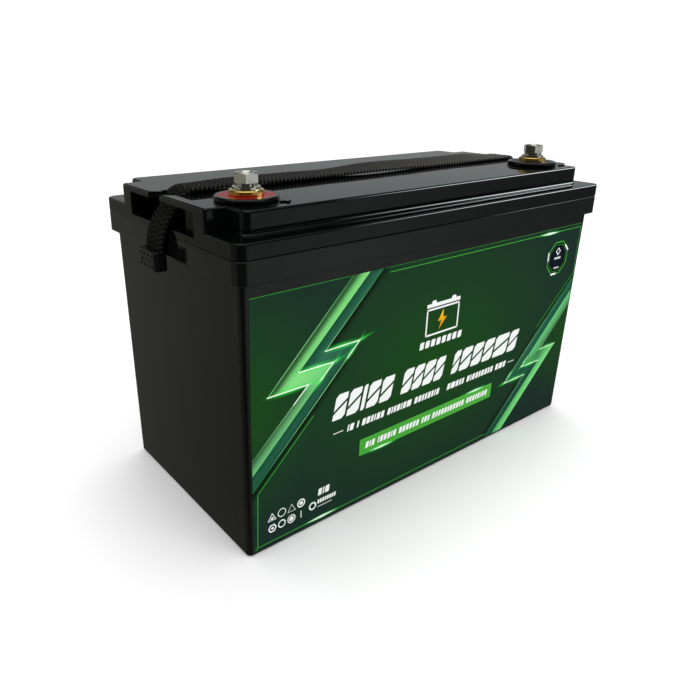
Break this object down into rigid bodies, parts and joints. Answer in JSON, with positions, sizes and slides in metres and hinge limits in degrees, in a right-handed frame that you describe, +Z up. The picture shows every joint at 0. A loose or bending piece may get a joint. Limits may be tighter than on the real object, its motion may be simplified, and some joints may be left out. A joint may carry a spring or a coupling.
{
  "type": "deep cycle battery",
  "caption": "Rectangular black deep cycle battery with a labelled front, raised deck, bolted brass terminals with marker discs and a webbing lifting strap with end clips.",
  "frame": {"origin": "centre of the base, on the surface the battery stands on", "axes": "+X along the length towards the negative terminal, +Y from the labelled front face to the back, +Z up"},
  "size_m": [0.3542, 0.1698, 0.2248],
  "materials": {
    "case_plastic": "glossy",
    "label_film": "glossy printed film",
    "collar_plastic": "satin",
    "red_disc": "satin",
    "black_disc": "satin",
    "brass": "machined",
    "steel": "machined",
    "seal_rubber": "matt",
    "webbing": "woven",
    "clip_plastic": "matt",
    "cell_can": "blue film",
    "insulating_sheet": "matt",
    "aluminium_bar": "satin",
    "plate_aluminium": "satin",
    "foam": "matt foam",
    "circuit_board": "solder mask",
    "component_plastic": "matt",
    "copper": "machined",
    "tinned_copper": "satin",
    "lead_insulation": "silicone",
    "harness_sleeve": "satin"
  },
  "bodies": {
    "battery": {"case": "case_plastic", "lid": "case_plastic", "label": "label_film", "positive_collar": "collar_plastic", "negative_collar": "collar_plastic", "positive_marker": "red_disc", "negative_marker": "black_disc", "positive_post": "brass", "negative_post": "brass", "positive_seal": "seal_rubber", "negative_seal": "seal_rubber", "positive_post_nut": "brass", "negative_post_nut": "brass", "strap_flank_left": "webbing", "strap_flank_right": "webbing", "strap_tail_left": "webbing", "strap_tail_right": "webbing", "cell_separators": "insulating_sheet", "bus_bars": "aluminium_bar", "cell_nuts": "steel", "end_plate_left": "plate_aluminium", "end_plate_right": "plate_aluminium", "compression_band_lower": "steel", "compression_band_upper": "steel", "base_pad": "foam", "side_foam": "foam", "end_foam": "foam", "bms_board": "circuit_board", "bms_parts": "component_plastic", "bms_heat_sink": "plate_aluminium", "bms_screws": "steel", "positive_link": "copper", "lead_lugs": "tinned_copper", "pack_negative_lead": "lead_insulation", "output_negative_lead": "lead_insulation", "sense_harness": "harness_sleeve", "temperature_probe": "harness_sleeve", "post_screws": "steel", "insulation_board": "insulating_sheet", "wireless_module": "circuit_board", "cell_1": "cell_can", "cell_2": "cell_can", "cell_3": "cell_can", "cell_4": "cell_can", "cell_5": "cell_can", "cell_6": "cell_can", "cell_7": "cell_can", "cell_8": "cell_can"},
    "strap_hand_grip": {"strap_grip": "webbing"},
    "strap_end_left": {"strap_clip_left": "clip_plastic"},
    "strap_end_right": {"strap_clip_right": "clip_plastic"},
    "positive_washers": {"positive_flat_washer": "steel", "positive_spring_washer": "steel"},
    "positive_screw": {"positive_bolt": "steel"},
    "negative_washers": {"negative_flat_washer": "steel", "negative_spring_washer": "steel"},
    "negative_screw": {"negative_bolt": "steel"}
  },
  "joints": [
    {"name": "strap_lift", "type": "slide", "parent": "battery", "child": "strap_hand_grip", "axis": [0, 0, 1], "range_m": [0, 0.06], "deforming": ["strap_flank_left", "strap_flank_right"]},
    {"name": "strap_end_left_pull", "type": "slide", "parent": "battery", "child": "strap_end_left", "axis": [0, 0, 1], "range_m": [0, 0.0158], "deforming": ["strap_tail_left"]},
    {"name": "strap_end_right_pull", "type": "slide", "parent": "battery", "child": "strap_end_right", "axis": [0, 0, 1], "range_m": [0, 0.0158], "deforming": ["strap_tail_right"]},
    {"name": "positive_screw_rise", "type": "slide", "parent": "battery", "child": "positive_washers", "axis": [0, 0, 1], "range_m": [0, 0.0113]},
    {"name": "positive_screw_turn", "type": "hinge", "parent": "positive_washers", "child": "positive_screw", "pos_m": [-0.1338, -0.0428, 0.2155], "axis": [0, 0, 1], "range_deg": [0, 3240]},
    {"name": "negative_screw_rise", "type": "slide", "parent": "battery", "child": "negative_washers", "axis": [0, 0, 1], "range_m": [0, 0.0113]},
    {"name": "negative_screw_turn", "type": "hinge", "parent": "negative_washers", "child": "negative_screw", "pos_m": [0.1338, -0.0428, 0.2155], "axis": [0, 0, 1], "range_deg": [0, 3240]}
  ],
  "couplings": [
    {"joint": "strap_end_left_pull", "follows": "strap_lift", "ratio": 0.2617},
    {"joint": "strap_end_right_pull", "follows": "strap_lift", "ratio": 0.2617},
    {"joint": "positive_screw_rise", "follows": "positive_screw_turn", "m_per_rad": 0.00019894},
    {"joint": "negative_screw_rise", "follows": "negative_screw_turn", "m_per_rad": 0.00019894}
  ]
}
